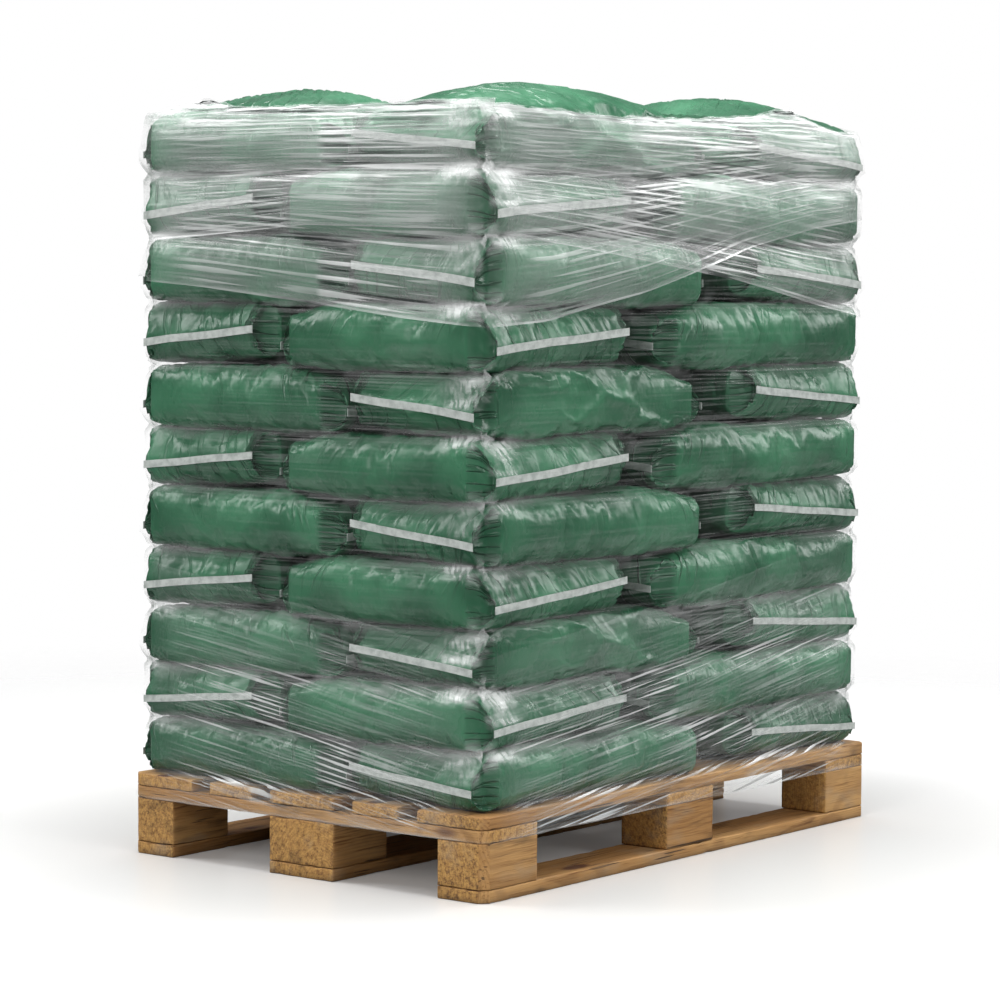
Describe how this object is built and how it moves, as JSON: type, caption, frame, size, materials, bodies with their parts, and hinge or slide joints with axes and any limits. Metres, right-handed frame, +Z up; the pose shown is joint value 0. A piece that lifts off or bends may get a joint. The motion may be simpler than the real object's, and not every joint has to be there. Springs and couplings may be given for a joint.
{
  "type": "pallet of sacks",
  "caption": "Four-way timber pallet carrying layers of filled plastic sacks, laid pinwheel fashion and held to the deck by clear stretch film.",
  "frame": {"origin": "centre of the pallet's footprint, on the floor", "axes": "+X along the pallet's 1200 mm length, +Y across its 800 mm width, +Z up"},
  "size_m": [1.2024, 0.8024, 1.3563],
  "materials": {
    "timber": "rough-sawn golden-brown softwood",
    "sack_plastic": "glossy green polyethylene film, creased",
    "stretch_film": "clear stretch film, hazy where it lies in several turns"
  },
  "bodies": {
    "root": {"bottom_board_1": "timber", "bottom_board_2": "timber", "bottom_board_3": "timber", "block_11": "timber", "block_12": "timber", "block_13": "timber", "block_21": "timber", "block_22": "timber", "block_23": "timber", "block_31": "timber", "block_32": "timber", "block_33": "timber", "cross_board_1": "timber", "cross_board_2": "timber", "cross_board_3": "timber", "deck_board_1": "timber", "deck_board_2": "timber", "deck_board_3": "timber", "deck_board_4": "timber", "deck_board_5": "timber", "sack_layer_01": "sack_plastic", "sack_layer_02": "sack_plastic", "sack_03_corner": "sack_plastic", "sack_03_left": "sack_plastic", "sack_03_right": "sack_plastic", "sack_03_back": "sack_plastic", "sack_04_corner": "sack_plastic", "sack_04_left": "sack_plastic", "sack_04_right": "sack_plastic", "sack_04_back": "sack_plastic", "sack_05_corner": "sack_plastic", "sack_05_left": "sack_plastic", "sack_05_right": "sack_plastic", "sack_05_back": "sack_plastic", "sack_06_corner": "sack_plastic", "sack_06_left": "sack_plastic", "sack_06_right": "sack_plastic", "sack_06_back": "sack_plastic", "sack_07_corner": "sack_plastic", "sack_07_left": "sack_plastic", "sack_07_right": "sack_plastic", "sack_07_back": "sack_plastic", "sack_08_corner": "sack_plastic", "sack_08_left": "sack_plastic", "sack_08_right": "sack_plastic", "sack_08_back": "sack_plastic", "sack_09_corner": "sack_plastic", "sack_09_left": "sack_plastic", "sack_09_right": "sack_plastic", "sack_09_back": "sack_plastic", "sack_10_corner": "sack_plastic", "sack_10_left": "sack_plastic", "sack_10_right": "sack_plastic", "sack_10_back": "sack_plastic", "sack_11_corner": "sack_plastic", "sack_11_left": "sack_plastic", "sack_11_right": "sack_plastic", "sack_11_back": "sack_plastic", "stretch_film": "stretch_film"}
  },
  "joints": []
}
